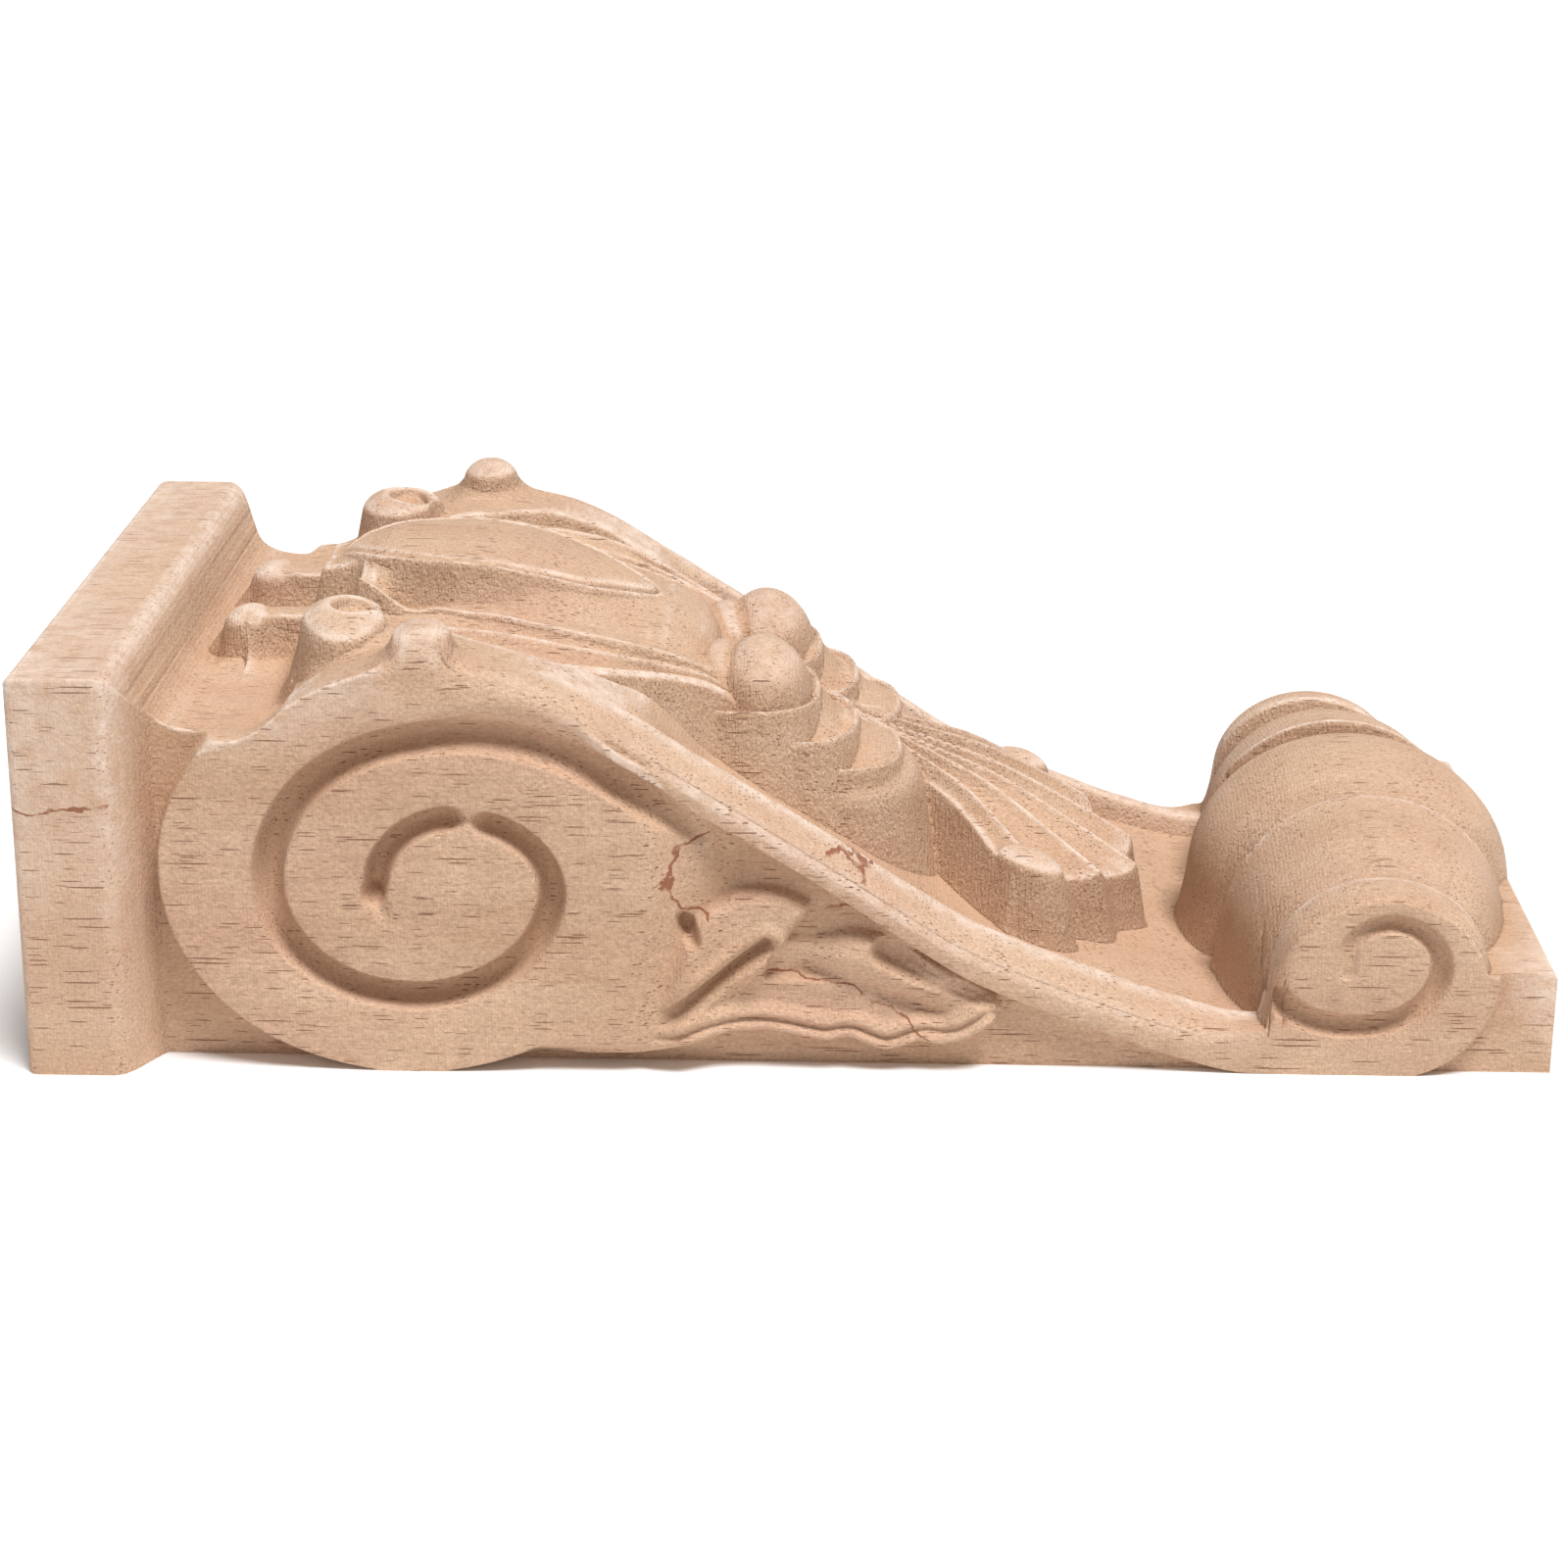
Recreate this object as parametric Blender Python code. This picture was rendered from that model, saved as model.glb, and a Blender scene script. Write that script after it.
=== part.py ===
"""Carved wooden corbel with volutes on both flanks and an acanthus leaf down its front.

It lies on its back: X runs from the cap to the foot, Y across the front, Z out of the wall. Metres.
The wood was carved straight down from the front and straight in from each flank, so the body is
what a front surface (a height for every X and Y) and a flank surface (a half width for every X
and Z) leave in common.
"""

import math

import bmesh
import bpy
import numpy as np

# Overall sizes
LENGTH = 0.200
CAP_WIDTH = 0.102
CAP_DEPTH = 0.0543
BELLY_DEPTH = 0.0610

# Half widths of the flank
CAP_HALF = CAP_WIDTH / 2
DISC_HALF = 0.0481
BODY_HALF = 0.0431
NECK_HALF = 0.0418
BAND_HALF = 0.0468
SMALL_VOLUTE_HALF = 0.0449

# Cap moulding
CAP_FASCIA = 0.0126
CAVETTO_END = 0.0236
CAVETTO_BOTTOM = 0.0424

# Large volute on the flank: an oval disc with a spiral groove
DISC_X, DISC_Z = 0.0500, 0.0275
DISC_RX, DISC_RZ = 0.0323, 0.0280
GROOVE_WIDTH = 0.0044
GROOVE_DEPTH = 0.0036

# Foot scroll: one lobe in the middle and two on each side, each with its radius,
# its inner and outer edge, how much it bulges, and the line it is rolled about
ROLL_OUTER_R = 0.0146
SCROLLS = (
    (0.0223, -0.0140, 0.0140, 0.0030, 0.1778, 0.0110),
    (0.0190, 0.0080, 0.0320, 0.0026, 0.1784, 0.0102),
    (0.0146, 0.0240, 0.0600, 0.0010, 0.1776, 0.0126),
)
FOOT_BLOCK = 0.0142
FOOT_BLOCK_START = 0.1930
FLOOR = 0.0035

# Leaf
STRIP_INNER = 0.0385
CHANNEL_DEPTH = 0.0048
LOBE_X, LOBE_HEAD, LOBE_TAIL, LOBE_HALF = 0.0590, 0.0250, 0.0205, 0.0130
LOBE_RISE = 0.0028
KNOB_X, KNOB_Y, KNOB_R = 0.0520, 0.0425, 0.0042
KNOB_DROP = 0.0006
BALL_X, BALL_Y, BALL_R = 0.0252, 0.0112, 0.0036
BELLS = (
    (0.0935, 0.0105, 0.0093, 0.0103, 0.0492, 0.0072),
    (0.0985, 0.0118, 0.0094, 0.0102, 0.0434, 0.0068),
    (0.1042, 0.0102, 0.0098, 0.0092, 0.0374, 0.0062),
)
BELL_TILT = 0.12
FAN_X = 0.1030
FAN_PITCH = 13.4
FAN_WIDE = 39.0
FAN_ANGLES = (6.5, 20.5, 36.0)
FAN_REACH = (0.0452, 0.0420, 0.0350)
FAN_RUN = (0.0, 0.0074, 0.0167, 0.0245, 0.0350, 0.0450, 0.0600)
FAN_Z = (0.0372, 0.0340, 0.0304, 0.0272, 0.0212, 0.0148, 0.0050)

# How far the lobe's rim, and the level beside it, lie below the belly's top, and where the ridges run
RIM_X = (0.0345, 0.0450, 0.0550, 0.0650, 0.0790, 0.0880)
RIM_DROP = (0.0054, 0.0034, 0.0029, 0.0044, 0.0092, 0.0134)
LEVEL_X = (0.0400, 0.0520, 0.0610, 0.0700, 0.0780, 0.0870, 0.0950)
LEVEL_DROP = (0.0090, 0.0078, 0.0080, 0.0092, 0.0112, 0.0146, 0.0190)
CURL_DROP = 0.0027
RIDGE_X = (0.0450, 0.0526, 0.0610, 0.0700, 0.0780, 0.0870, 0.0950)
RIDGE_A = (0.0165, 0.0170, 0.0185, 0.0200, 0.0200, 0.0180, 0.0160)
RIDGE_B = (0.0225, 0.0232, 0.0248, 0.0264, 0.0250, 0.0230, 0.0200)
RIDGE_C = (0.0270, 0.0290, 0.0325, 0.0335, 0.0310, 0.0270, 0.0240)

# How fine the surfaces are before the flat parts are thinned out
STEP = 0.00060
KEPT_FACES = 9600

# Heights of the flank's top edge from the large volute to the foot
EDGE_X = (0.0, 0.0227, 0.0283, 0.0318, 0.0354, 0.0395, 0.0442, 0.0500, 0.0600, 0.0700, 0.0787,
          0.0875, 0.0965, 0.1055, 0.1147, 0.1237, 0.1382, 0.1493, 0.1600, 0.2000)
EDGE_Z = (0.0452, 0.0452, 0.0455, 0.0471, 0.0502, 0.0525, 0.0541, 0.0552, 0.0546, 0.0520, 0.0472,
          0.0417, 0.0361, 0.0304, 0.0243, 0.0188, 0.0128, 0.0088, 0.0062, 0.0050)


def clamp(t):
    return np.clip(t, 0.0, 1.0)


def ease(t):
    t = clamp(t)
    return t * t * (3 - 2 * t)


def curve(xs, zs, x):
    """A smooth line through the points, with no overshoot between them."""
    xs, zs = np.asarray(xs, float), np.asarray(zs, float)
    step = np.diff(xs)
    slope = np.diff(zs) / step
    m = np.zeros(len(xs))
    same = slope[:-1] * slope[1:] > 0
    m[1:-1][same] = 2 * slope[:-1][same] * slope[1:][same] / (slope[:-1] + slope[1:])[same]
    i = np.clip(np.searchsorted(xs, x) - 1, 0, len(step) - 1)
    t = clamp((x - xs[i]) / step[i])
    a = (1 + 2 * t) * (1 - t) ** 2
    b = t * (1 - t) ** 2
    return a * zs[i] + (1 - a) * zs[i + 1] + step[i] * (b * m[i] - t * t * (1 - t) * m[i + 1])


def smooth_path(points, rounds=3):
    path = np.asarray(points, float)
    for _ in range(rounds):
        a, b = path[:-1], path[1:]
        cut = np.stack([0.75 * a + 0.25 * b, 0.25 * a + 0.75 * b], 1).reshape(-1, 2)
        path = np.vstack([path[:1], cut, path[-1:]])
    return path


def from_path(points, u, v):
    """Distance to a rounded line through the points, and how far along it, 0 to 1."""
    path = smooth_path(points)
    far = np.full(u.shape, 1e9)
    along = np.zeros(u.shape)
    run = np.concatenate([[0], np.cumsum(np.hypot(*np.diff(path, axis=0).T))])
    for i in range(len(path) - 1):
        a, d = path[i], path[i + 1] - path[i]
        t = clamp(((u - a[0]) * d[0] + (v - a[1]) * d[1]) / (d @ d))
        r = np.hypot(u - a[0] - t * d[0], v - a[1] - t * d[1])
        near = r < far
        far = np.where(near, r, far)
        along = np.where(near, (run[i] + t * (run[i + 1] - run[i])) / run[-1], along)
    return far, along


def oval(u, v, cu, cv, ru, rv, turn=0.0):
    """1 on the oval's outline, and growing with the distance from its middle."""
    c, s = math.cos(math.radians(turn)), math.sin(math.radians(turn))
    a, b = (u - cu) * c + (v - cv) * s, (v - cv) * c - (u - cu) * s
    return np.hypot(a / ru, b / rv)


def dome(r, radius, top, rise, wall):
    """Height of a domed lobe: top less rise towards its rim, then a wall with a little draft."""
    inside = top - rise * (1 - np.sqrt(1 - clamp(r) ** 2 * 0.999))
    return np.where(r < 1, inside, top - rise * 0.97 - (r - 1) * radius * wall)


def groove(distance, width, depth):
    return depth * ease(1.25 - 1.25 * distance / (width / 2))


def front(x, y):
    """Height of the front surface."""
    s = np.abs(y)
    edge = curve(EDGE_X, EDGE_Z, x)

    # The strip along the band, and the channel between it and the leaf
    open_bed = ease((x - 0.080) / 0.014)
    across = ease((STRIP_INNER + 0.002 - s) / 0.006)
    z = edge - CHANNEL_DEPTH * open_bed * (1 - 0.35 * ease((x - 0.12) / 0.04)) * across
    valley = 1 - ease((x - 0.0300 - 0.010 * ease((s - 0.014) / 0.01) + 0.008 * ease((s - 0.036) / 0.006)) / 0.003)
    z = z - (z - CAVETTO_BOTTOM) * valley * ease((0.045 - s) / 0.004)

    head = 0.0482 + 0.25 * (x - 0.030)
    z = np.maximum(z, np.where((x < 0.046) & (s < 0.034), head - 4.0 * np.maximum(0, 0.0302 + 0.10 * s - x), 0))

    # The outer level of the leaf: ridges with hollows between, running back to the bulbs
    ridge_a, ridge_b, ridge_c = (curve(RIDGE_X, line, x) for line in (RIDGE_A, RIDGE_B, RIDGE_C))
    level = BELLY_DEPTH - curve(LEVEL_X, LEVEL_DROP, x)
    wave = np.where(s < ridge_b, (s - ridge_a) / (ridge_b - ridge_a), 1 + (s - ridge_b) / (ridge_c - ridge_b))
    deep = 0.0015 * ease((x - 0.048) / 0.006) * (1 - 0.5 * ease((x - 0.080) / 0.010))
    rippled = level - deep * np.where((wave > 0) & (wave < 2), np.sin(np.pi * wave) ** 2, 0)
    to_edge = ease((s - ridge_c) / 0.009)
    leaf = rippled + (edge - 0.0006 - rippled) * to_edge
    slope = 0.85 * np.maximum(0, s - ridge_c - 0.0012)
    leaf = np.where(x < 0.064, leaf, leaf - (leaf - np.maximum(rippled - slope, z)) * ease((x - 0.064) / 0.010))
    leaf = leaf - 5.0 * np.maximum(0, 0.0405 - 0.006 * ease((s - 0.030) / 0.006) - x)
    leaf = leaf - 2.5 * np.maximum(0, x - 0.0930)
    z = np.maximum(z, leaf)

    # The middle lobe: an egg shape with a rim, and a skirt that falls to the outer level
    t = (x - LOBE_X) / np.where(x < LOBE_X, LOBE_HEAD, LOBE_TAIL)
    power = np.where(x < LOBE_X, 1.3, 2.0)
    r = (np.abs(t) ** power + (s / LOBE_HALF) ** power) ** (1 / power)
    rim = BELLY_DEPTH - curve(RIM_X, RIM_DROP, x)
    skirt = rim - 0.0086 * np.maximum(r - 1, 0) - 4.0 * np.maximum(0, LOBE_X - LOBE_HEAD - x)
    skirt = skirt - 3.0 * np.maximum(0, x - 0.0905) - 4.0 * np.maximum(0, 0.0405 - x) * ease((s - 0.004) / 0.004)
    cup = oval(x, s, 0.0478, 0.0122, 0.0056, 0.0050, 20)
    skirt = skirt - 0.0032 * (1 - ease((cup - 0.45) / 0.55))
    lobe = rim + LOBE_RISE * (1 - clamp(r) ** 2) - 0.0009 * np.exp(-(((r - 0.93) / 0.05) ** 2))
    z = np.maximum(z, np.where(r < 1, lobe, skirt))

    # Balls at the head of the leaf, with a stem behind each
    ball = dome(oval(x, s, BALL_X, BALL_Y, BALL_R, BALL_R), BALL_R, 0.0526, 0.0036, 7)
    stem = dome(oval(x, s, 0.0325, 0.0095, 0.0060, 0.0034), 0.004, 0.0508, 0.0016, 5)
    z = np.maximum(z, np.maximum(ball, stem))

    # Leaf tips that curl over beside the lobe
    curl = dome(oval(x, s, 0.0395, 0.0272, 0.0052, 0.0058, -20), 0.005, BELLY_DEPTH - CURL_DROP, 0.0028, 4)
    hollow = 0.0024 * (1 - ease((oval(x, s, 0.0412, 0.0252, 0.0030, 0.0022) - 0.4) / 0.6))
    z = np.maximum(z, curl) - hollow

    # Knobs at the leaf's edges
    knob = oval(x, s, KNOB_X, KNOB_Y, KNOB_R, KNOB_R + 0.0006)
    z = np.maximum(z, dome(knob, KNOB_R, BELLY_DEPTH - KNOB_DROP, 0.0036, 5))
    scoop = oval(x, s, KNOB_X + 0.0056, KNOB_Y - 0.002, 0.0030, 0.0040)
    z = z - 0.0016 * (1 - ease((scoop - 0.3) / 0.7))

    # The lower leaf: three bells on each side, one set in the next
    for cx, cy, rx, ry, top, rise in BELLS:
        r = oval(x, s, cx, cy, rx, ry)
        z = np.maximum(z, dome(r, rx, top, rise, 5) - BELL_TILT * (x - cx) * (r < 1.5))

    # The fan: pairs of ridges from one root to a scalloped end
    fx, fr = x - FAN_X, np.hypot(x - FAN_X, s)
    angle = np.degrees(np.arctan2(s, np.maximum(fx, 1e-6)))
    reach = np.interp(angle, FAN_ANGLES, FAN_REACH)
    between = np.cos(np.radians(180 * angle / FAN_PITCH)) ** 2
    body = curve(FAN_RUN, FAN_Z, fr) + 0.0010 * ease(angle / 30) - 0.0020 * between * ease(fr / 0.018)
    out = np.maximum(fr - reach + 0.0016 * between, 0)
    wide = np.maximum(fr * np.sin(np.radians(np.maximum(angle - FAN_WIDE, 0))), 0)
    fan = body - 5.0 * out - 4.0 * wide
    z = np.where(fx > 0, np.maximum(z, fan), z)

    # Small knobs where the outer ridges end
    r = oval(x, s, 0.1322, 0.0222, 0.0048, 0.0042, 25)
    z = np.maximum(z, dome(r, 0.005, 0.0222, 0.0026, 5) - 0.35 * (x - 0.1322) * (r < 1.6))

    # The scroll at the foot
    for r0, lo, hi, bulge, cx, cz in SCROLLS:
        w = (s - (lo + hi) / 2) / ((hi - lo) / 2)
        radius = r0 - bulge * w * w
        h = cz + np.sqrt(np.maximum(radius**2 - (x - cx) ** 2, 0))
        h = np.where((x - cx) ** 2 > radius**2, cz - 6.0 * (np.abs(x - cx) - radius), h)
        z = np.maximum(z, np.where((s >= lo) & (s <= hi), h, 0))
    z = np.maximum(z, np.where(x > FOOT_BLOCK_START - 0.012, FOOT_BLOCK, 0))

    # The cap: a square fascia, then the cavetto down to the leaf
    t = clamp((x - CAP_FASCIA) / (CAVETTO_END - CAP_FASCIA))
    hollow = CAVETTO_BOTTOM + (CAP_DEPTH - CAVETTO_BOTTOM) * (1 - np.sqrt(1 - (1 - t) ** 2))
    z = np.where(x < CAVETTO_END, np.maximum(hollow, np.where(s < 0.02, z, 0)), z)
    z = np.where(x <= CAP_FASCIA, CAP_DEPTH, z)
    return np.maximum(z, FLOOR)


def flank(x, z):
    """Half width of the body."""
    half = BODY_HALF + (DISC_HALF - BODY_HALF) * 0.75 * (1 - ease((x - 0.078) / 0.016)) * ease((z - 0.012) / 0.016)

    # The band from the large volute to the small one
    edge = curve(EDGE_X, EDGE_Z, x)
    depth = curve((0.06, 0.080, 0.10, 0.125, 0.150, 0.20), (0.012, 0.0070, 0.0062, 0.0068, 0.0068, 0.006), x)
    under = edge - depth
    band_half = BAND_HALF - (BAND_HALF - SMALL_VOLUTE_HALF) * ease((x - 0.09) / 0.06)
    band = ease((z - under) / 0.0012) * ease((x - 0.060) / 0.006) * (1 - ease((x - 0.174) / 0.004))
    half = np.maximum(half, BODY_HALF + (band_half - BODY_HALF) * band)

    # A leaf in low relief on the web below the band
    for cx, cz, rx, rz, turn, rise in (
        (0.0905, 0.0140, 0.0150, 0.0068, 42, 0.0026),
        (0.1090, 0.0112, 0.0165, 0.0062, -12, 0.0024),
        (0.0900, 0.0055, 0.0180, 0.0030, 8, 0.0020),
    ):
        r = oval(x, z, cx, cz, rx, rz, turn)
        half = np.maximum(half, BODY_HALF + rise * np.sqrt(clamp(1.0 - r**3)) * (r < 1))
    far, along = from_path(((0.0835, 0.0045), (0.0900, 0.0105), (0.0965, 0.0175)), x, z)
    half = half - groove(far, 0.0022, 0.0020)
    far, along = from_path(((0.1030, 0.0080), (0.1120, 0.0115), (0.1170, 0.0150)), x, z)
    half = half - groove(far, 0.0022, 0.0014)

    # The large volute
    r = oval(x, z, DISC_X, DISC_Z, DISC_RX, DISC_RZ)
    disc = ease((1.0 - r) / 0.030 + 0.5)
    upper = (x > DISC_X) & (z > DISC_Z)
    half = np.where(upper & (z > under), half, half + (DISC_HALF - half) * disc)
    shoulder = ease((x - 0.040) / 0.004) * (1 - ease((x - 0.066) / 0.010)) * ease((z - DISC_Z) / 0.01)
    half = half + np.maximum(DISC_HALF - 0.0002 - half, 0) * shoulder
    spiral = (
        (0.0930, 0.0340), (0.0858, 0.0378), (0.0740, 0.0437), (0.0640, 0.0464), (0.0540, 0.0465),
        (0.0440, 0.0440), (0.0360, 0.0385), (0.0320, 0.0300), (0.0322, 0.0215), (0.0370, 0.0145),
        (0.0450, 0.0110), (0.0540, 0.0104), (0.0625, 0.0135), (0.0680, 0.0200), (0.0687, 0.0275),
        (0.0645, 0.0335), (0.0570, 0.0357), (0.0500, 0.0345), (0.0462, 0.0300), (0.0455, 0.0245),
    )
    far, along = from_path(spiral, x, z)
    width = GROOVE_WIDTH * (1.05 - 0.45 * along)
    half = half - groove(far, width, GROOVE_DEPTH) * (1 - ease((along - 0.93) / 0.07))

    # The neck under the cap, and the cap's cavetto
    neck = (x < DISC_X - 0.006) & (r > 1.0)
    half = np.where(neck, NECK_HALF + (half - NECK_HALF) * ease((1.03 - r) / 0.030), half)
    t = clamp((x - CAP_FASCIA) / 0.0072)
    hollow = NECK_HALF + (CAP_HALF - NECK_HALF) * (1 - np.sqrt(1 - (1 - t) ** 2))
    half = np.where(x < 0.0225, np.maximum(half, hollow), half)
    half = np.where(x <= CAP_FASCIA, CAP_HALF, half)

    # The small volute on the foot
    r = oval(x, z, 0.1776, 0.0134, ROLL_OUTER_R + 0.0002, ROLL_OUTER_R - 0.0006)
    half = np.maximum(half, BODY_HALF + (SMALL_VOLUTE_HALF - BODY_HALF) * ease((1.0 - r) / 0.05 + 0.5))
    turns = (
        (0.1600, 0.0135), (0.1640, 0.0098), (0.1690, 0.0074), (0.1745, 0.0067), (0.1805, 0.0080),
        (0.1845, 0.0125), (0.1845, 0.0180), (0.1800, 0.0214), (0.1750, 0.0212), (0.1722, 0.0175),
    )
    far, along = from_path(turns, x, z)
    deep = 0.0020 + 0.0022 * (1 - ease(along / 0.25))
    half = half - groove(far, 0.0036 - 0.0012 * along, 1.0) * deep * (1 - 0.7 * ease((along - 0.75) / 0.25))
    return half


def section(x, zs, ys):
    """The outline across the body at each x, from the middle of its back to the middle of its front."""
    lane = np.linspace(0, 0.056, 561)
    gx, gy = np.meshgrid(x, lane, indexing="ij")
    height = front(gx, gy)
    room = flank(gx, height) - gy
    first = np.argmax(room < 0, axis=1)
    rows = np.arange(len(x))
    a, b = room[rows, first - 1], room[rows, first]
    t = a / (a - b)
    corner_y = lane[first - 1] + t * (lane[first] - lane[first - 1])
    corner_z = height[rows, first - 1] + t * (height[rows, first] - height[rows, first - 1])
    fz = corner_z[:, None] * zs[None, :]
    fx = np.repeat(x[:, None], len(zs), axis=1)
    side = np.stack([fx, flank(fx, fz), fz], -1)
    side[:, -1, 1] = corner_y
    ty = corner_y[:, None] * ys[None, ::-1]
    tx = np.repeat(x[:, None], len(ys), axis=1)
    over = np.stack([tx, ty, front(tx, ty)], -1)
    back = side[:, :1] * np.array([1, 0, 1])
    return np.concatenate([back, side, over[:, 1:]], axis=1)


for old in list(bpy.data.objects):
    bpy.data.objects.remove(old, do_unlink=True)

# Sections across one half, joined along X. Two at each sharp step keep its edge crisp.
xs = np.linspace(0, LENGTH, round(LENGTH / STEP) + 1)
xs = np.unique(np.concatenate([xs, [CAP_FASCIA, CAP_FASCIA + 0.00005]]))
grid = section(xs, np.linspace(0, 1, 72), np.linspace(0, 1, 88))
grid[..., 0] -= LENGTH / 2
rows, cols = grid.shape[:2]
index = np.arange(rows * cols).reshape(rows, cols)
a, b, c, d = index[:-1, :-1], index[1:, :-1], index[1:, 1:], index[:-1, 1:]
faces = np.stack([a, b, c, d], -1).reshape(-1, 4).tolist()
faces.append(index[0].tolist())
faces.append(index[-1, ::-1].tolist())
mesh = bpy.data.meshes.new("half")
mesh.from_pydata(grid.reshape(-1, 3).tolist(), [], faces)
mesh.update()
half_body = bpy.data.objects.new("half", mesh)
bpy.context.scene.collection.objects.link(half_body)

# Thin out the flat parts, and bring the cut face back to the middle plane
square = half_body.modifiers.new("Corners", "TRIANGULATE")
thin = half_body.modifiers.new("Thin", "DECIMATE")
thin.decimate_type = "COLLAPSE"
thin.ratio = KEPT_FACES / 2 / (2 * rows * cols)
bpy.context.view_layer.update()
made = half_body.evaluated_get(bpy.context.evaluated_depsgraph_get()).to_mesh()
thinned = bmesh.new()
thinned.from_mesh(made)
for edge in thinned.edges:
    if edge.is_boundary:
        for vert in edge.verts:
            vert.co.y = 0.0
bmesh.ops.recalc_face_normals(thinned, faces=thinned.faces)
kept = bpy.data.meshes.new("corbel")
thinned.to_mesh(kept)
thinned.free()
bpy.data.objects.remove(half_body, do_unlink=True)
corbel = bpy.data.objects.new("corbel", kept)
bpy.context.scene.collection.objects.link(corbel)
twin = corbel.modifiers.new("Other half", "MIRROR")
twin.use_axis = (False, True, False)
twin.use_mirror_merge = True
twin.merge_threshold = 0.00001

wood = bpy.data.materials.new("pale_wood")
wood.use_nodes = True
shader = wood.node_tree.nodes["Principled BSDF"]
shader.inputs["Base Color"].default_value = (0.70, 0.49, 0.32, 1.0)
shader.inputs["Roughness"].default_value = 0.72
corbel.data.materials.append(wood)
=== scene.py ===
import math

import bpy
import numpy as np
from mathutils import Euler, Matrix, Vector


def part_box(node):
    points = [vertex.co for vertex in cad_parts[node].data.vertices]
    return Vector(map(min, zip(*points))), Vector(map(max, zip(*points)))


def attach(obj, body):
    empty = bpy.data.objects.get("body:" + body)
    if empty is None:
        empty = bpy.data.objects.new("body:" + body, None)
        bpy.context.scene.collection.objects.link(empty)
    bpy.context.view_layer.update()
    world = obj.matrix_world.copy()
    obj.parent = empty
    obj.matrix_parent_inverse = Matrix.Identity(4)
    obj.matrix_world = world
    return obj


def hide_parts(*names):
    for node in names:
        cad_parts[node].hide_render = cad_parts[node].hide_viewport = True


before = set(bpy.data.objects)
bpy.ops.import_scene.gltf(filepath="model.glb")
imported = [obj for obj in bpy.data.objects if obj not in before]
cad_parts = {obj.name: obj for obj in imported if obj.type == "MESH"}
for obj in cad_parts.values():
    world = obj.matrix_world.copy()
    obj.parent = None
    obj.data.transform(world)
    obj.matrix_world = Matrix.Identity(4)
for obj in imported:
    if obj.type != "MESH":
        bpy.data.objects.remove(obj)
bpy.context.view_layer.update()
bpy.ops.object.select_all(action="DESELECT")

# The corbel is one block of pale rubberwood. Its flanks were sawn and routed straight in, and its
# front was carved straight down, so the carving is a half width for every place on the flank and a
# height for every place on the front. All of its sizes here are in millimetres from the cap's end.
LENGTH, TOP, THINNEST = 200.0, 61.0, 3.5
DISC_HALF, BODY_HALF, NECK_HALF, BAND_HALF, FOOT_HALF = 48.1, 43.1, 40.8, 46.8, 44.9
# Height of the front at the flank, before anything is carved into it
EDGE = np.array([
    (0, 45.2), (22.7, 45.2), (28.3, 45.5), (31.8, 47.1), (35.4, 50.2), (39.5, 52.5), (44.2, 54.1),
    (50.0, 55.2), (60.0, 54.6), (70.0, 52.0), (78.7, 47.2), (87.5, 41.7), (96.5, 36.1), (105.5, 30.4),
    (114.7, 24.3), (123.7, 18.8), (138.2, 12.8), (149.3, 8.8), (160.0, 6.2), (200.0, 5.0)])


def clamp(t):
    return np.clip(t, 0.0, 1.0)


def ease(t):
    """From 0 to 1 with a soft start and end."""
    t = clamp(t)
    return t * t * (3 - 2 * t)


def between(t, low, high, soft):
    """1 from low to high, fading to 0 over soft at either end."""
    return ease((t - low) / soft + 0.5) * ease((high - t) / soft + 0.5)


def curve(points, x):
    """A smooth line through the points, with no overshoot between them."""
    xs, zs = np.asarray(points, float).T
    step = np.diff(xs)
    slope = np.diff(zs) / step
    m = np.zeros(len(xs))
    same = slope[:-1] * slope[1:] > 0
    m[1:-1][same] = 2 * slope[:-1][same] * slope[1:][same] / (slope[:-1] + slope[1:])[same]
    i = np.clip(np.searchsorted(xs, x) - 1, 0, len(step) - 1)
    t = clamp((x - xs[i]) / step[i])
    a = (1 + 2 * t) * (1 - t) ** 2
    b = t * (1 - t) ** 2
    return a * zs[i] + (1 - a) * zs[i + 1] + step[i] * (b * m[i] - t * t * (1 - t) * m[i + 1])


def from_path(points, u, v, rounds=3):
    """Distance to a rounded line through the points, and how far along it, 0 to 1."""
    path = np.asarray(points, float)
    for _ in range(rounds):
        a, b = path[:-1], path[1:]
        cut = np.stack([0.75 * a + 0.25 * b, 0.25 * a + 0.75 * b], 1).reshape(-1, 2)
        path = np.vstack([path[:1], cut, path[-1:]])
    far = np.full(u.shape, 1e9)
    along = np.zeros(u.shape)
    run = np.concatenate([[0], np.cumsum(np.hypot(*np.diff(path, axis=0).T))])
    for i in range(len(path) - 1):
        a, d = path[i], path[i + 1] - path[i]
        t = clamp(((u - a[0]) * d[0] + (v - a[1]) * d[1]) / (d @ d))
        r = np.hypot(u - a[0] - t * d[0], v - a[1] - t * d[1])
        near = r < far
        far = np.where(near, r, far)
        along = np.where(near, (run[i] + t * (run[i + 1] - run[i])) / run[-1], along)
    return far, along


def oval(u, v, cu, cv, ru, rv, turn=0.0):
    """1 on the oval's outline, and growing with the distance from its middle."""
    c, s = math.cos(math.radians(turn)), math.sin(math.radians(turn))
    a, b = (u - cu) * c + (v - cv) * s, (v - cv) * c - (u - cu) * s
    return np.hypot(a / ru, b / rv)


def dent(r, flat):
    """1 in the flat middle of an oval hollow, fading to 0 at its outline."""
    return 1 - ease((r - flat) / (1 - flat))


def dome(r, radius, top, rise, wall):
    """Height of a domed lobe: top less rise towards its rim, then a wall with a little draft."""
    inside = top - rise * (1 - np.sqrt(1 - clamp(r) ** 2 * 0.999))
    return np.where(r < 1, inside, top - rise * 0.97 - (r - 1) * radius * wall)


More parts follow.
